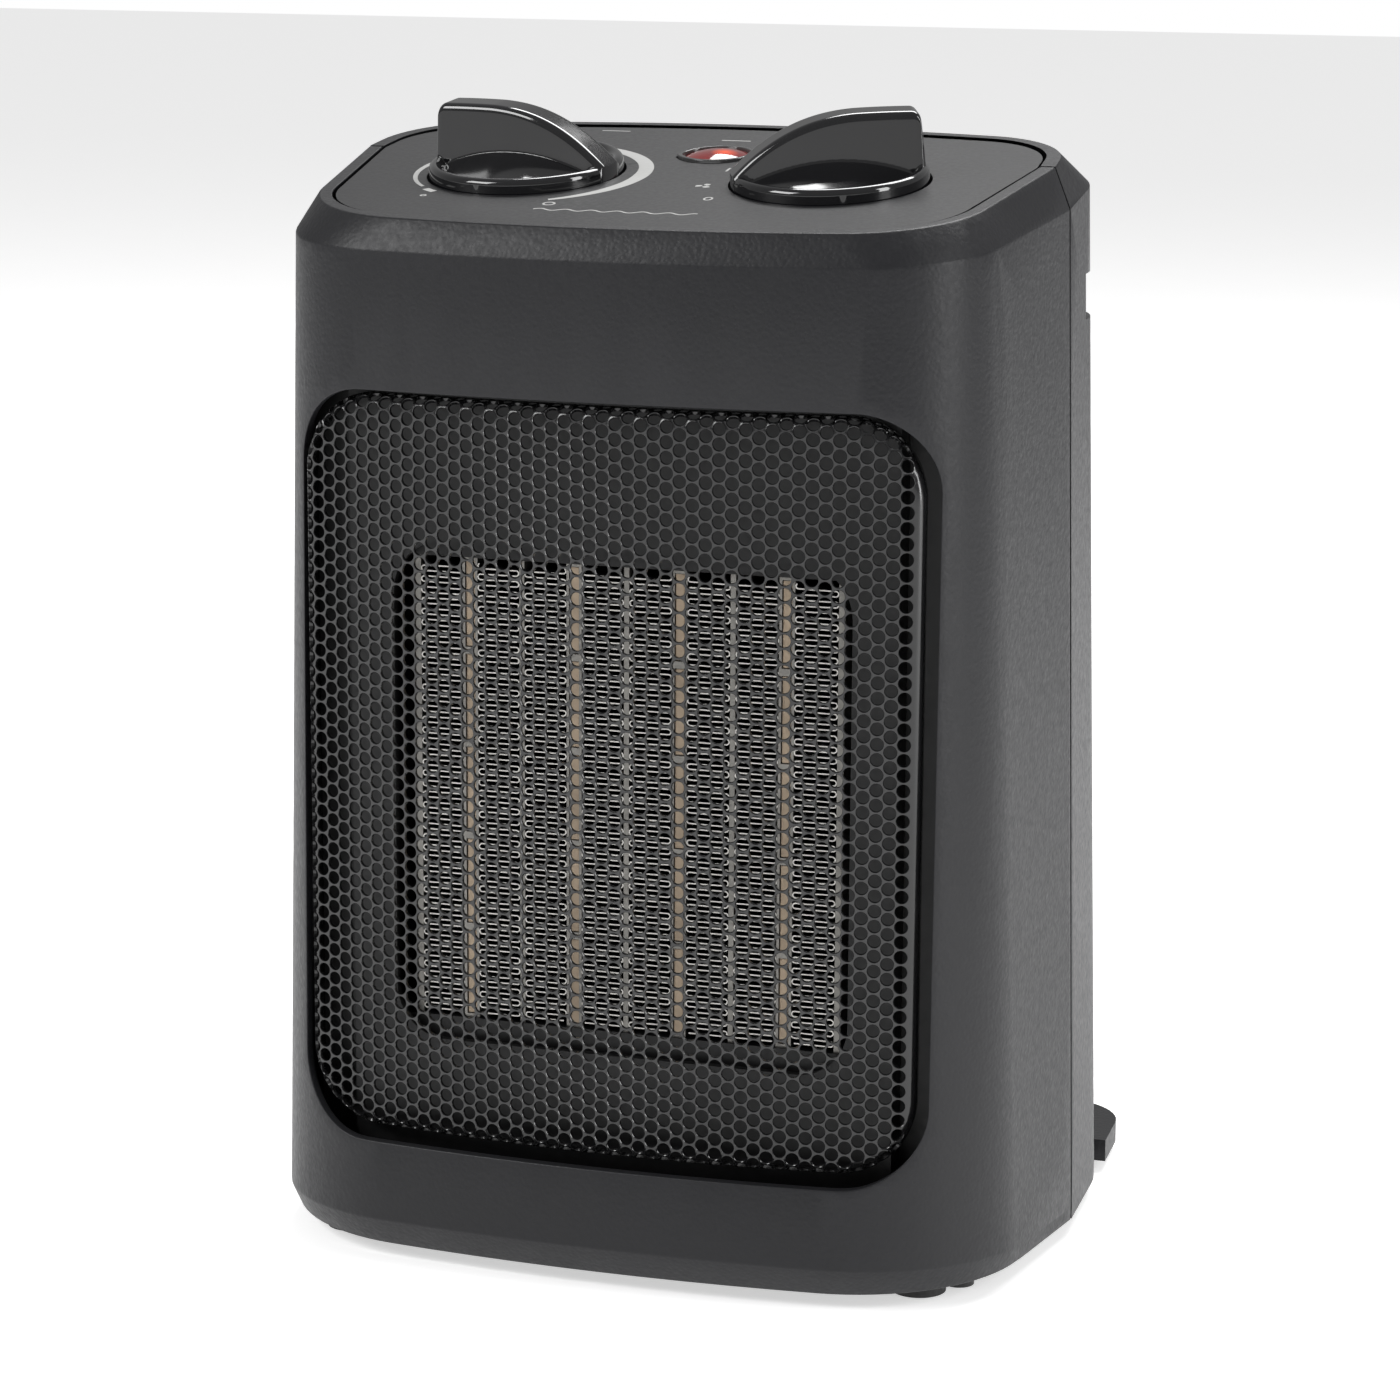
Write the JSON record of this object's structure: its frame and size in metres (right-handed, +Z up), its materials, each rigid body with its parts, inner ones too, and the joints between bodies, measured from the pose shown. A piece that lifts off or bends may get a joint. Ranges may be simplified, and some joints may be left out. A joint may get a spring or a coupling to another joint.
{
  "type": "ceramic space heater",
  "caption": "Compact bowed box heater: perforated black outlet grille over a finned ceramic element, sloping panel with grip knobs, fan behind, and a foot tongue at the back.",
  "frame": {"origin": "on the table, under the middle of the bounding box", "axes": "+Z up, -Y the way the warm air leaves, +X to the right as seen from the front"},
  "size_m": [0.1852, 0.1607, 0.2636],
  "materials": {
    "shell": "fine leather-grained matt charcoal",
    "panel": "smooth satin charcoal",
    "knob": "polished black",
    "plated_steel": "zinc plated",
    "brown_plastic": "brown thermoset",
    "copper_alloy": "bare",
    "black_plastic": "moulded",
    "red_lens": "translucent moulded red with a lattice",
    "bezel": "bright black rim",
    "lamp_glass": "clear",
    "mesh_paint": "gloss black enamel",
    "chassis_plastic": "black heat-resistant moulding",
    "element_metal": "bright rolled",
    "fin_metal": "bright corrugated foil",
    "ceramic": "unglazed pale ceramic",
    "fan_plastic": "moulded black",
    "steel": "ground",
    "laminations": "stacked laminations",
    "winding": "enamelled winding wire",
    "rubber_feet": "moulded",
    "spring_steel": "drawn wire",
    "gland_rubber": "moulded",
    "screw_steel": "zinc plated"
  },
  "bodies": {
    "case": {"base_plate": "black_plastic", "base_screws": "screw_steel", "bimetal_strip": "copper_alloy", "chassis": "chassis_plastic", "control_panel": "panel", "cord_gland": "gland_rubber", "electrode_tabs": "copper_alloy", "fan_shroud": "chassis_plastic", "front_feet": "rubber_feet", "front_shell": "shell", "grille_mesh": "mesh_paint", "intake_grille": "black_plastic", "lamp_holder": "black_plastic", "lens_bezel": "bezel", "motor_coil": "winding", "motor_front_bracket": "plated_steel", "motor_rear_bracket": "plated_steel", "motor_screws": "screw_steel", "motor_stator": "laminations", "neon_lamp": "lamp_glass", "panel_screws": "screw_steel", "pilot_lens": "red_lens", "ptc_bars": "element_metal", "ptc_bottom_holder": "chassis_plastic", "ptc_chips": "ceramic", "ptc_dividers": "element_metal", "ptc_fins": "fin_metal", "ptc_top_holder": "chassis_plastic", "rear_feet": "rubber_feet", "rear_shell": "shell", "selector_switch": "black_plastic", "shell_screws": "screw_steel", "thermal_cutout": "brown_plastic", "thermal_fuse": "ceramic", "thermostat_body": "brown_plastic", "tip_switch": "brown_plastic"},
    "thermostat_dial": {"thermostat_knob": "knob", "thermostat_spindle": "plated_steel"},
    "selector_dial": {"selector_knob": "knob", "selector_spindle": "plated_steel"},
    "fan": {"impeller": "fan_plastic", "motor_shaft": "steel", "motor_rotor": "laminations"},
    "plunger": {"tip_plunger": "black_plastic", "tip_spring": "spring_steel"}
  },
  "joints": [
    {"name": "thermostat_turn", "type": "hinge", "parent": "case", "child": "thermostat_dial", "pos_m": [-0.0362, -0.0227, 0.24626], "axis": [0, -0.1564, 0.9877], "range_deg": [-65, 225]},
    {"name": "selector_turn", "type": "hinge", "parent": "case", "child": "selector_dial", "pos_m": [0.0362, -0.0227, 0.24626], "axis": [0, -0.1564, 0.9877], "range_deg": [-110, 0]},
    {"name": "fan_spin", "type": "hinge", "parent": "case", "child": "fan", "pos_m": [0, -0.016, 0.108], "axis": [0, 1, 0], "continuous": true},
    {"name": "plunger_slide", "type": "slide", "parent": "case", "child": "plunger", "axis": [0, 0, -1], "range_m": [0, 0.004], "stiffness_N_per_m": 60, "springref_m": 0.006, "deforming": ["tip_spring"]}
  ]
}
